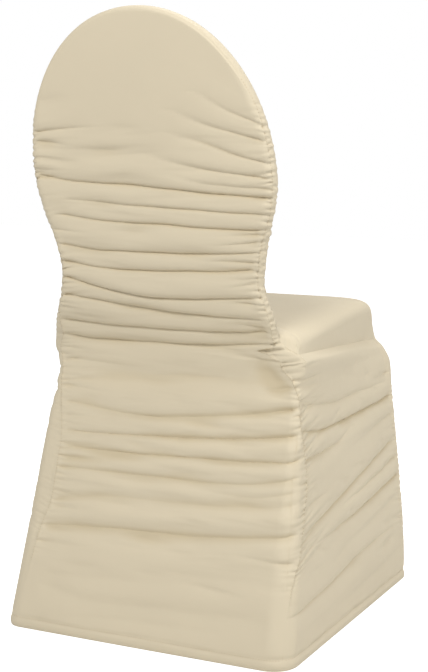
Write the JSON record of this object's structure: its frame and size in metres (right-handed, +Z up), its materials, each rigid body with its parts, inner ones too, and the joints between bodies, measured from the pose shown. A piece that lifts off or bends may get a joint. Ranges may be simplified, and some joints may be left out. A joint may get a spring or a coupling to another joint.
{
  "type": "ruched spandex chair cover",
  "caption": "Fitted stretch cover for a round-backed chair: gathered rear panel, cushioned seat top and skirt to the floor, worn shape, hollow.",
  "frame": {"origin": "on the floor plane at the hem, under the centre of the cover's box", "axes": "+Z up from the hem to the crown, front of the seat towards -Y, outer back towards +Y, +X towards the side that is on the left when seen from behind"},
  "size_m": [0.4822, 0.5366, 0.943],
  "materials": {
    "cover_cloth": "champagne stretch knit of polyester and elastane, soft satin sheen, gathered at its seams"
  },
  "bodies": {
    "root": {"back_panel": "cover_cloth", "front_panel": "cover_cloth", "side_panel_right": "cover_cloth", "side_panel_left": "cover_cloth"}
  },
  "joints": []
}
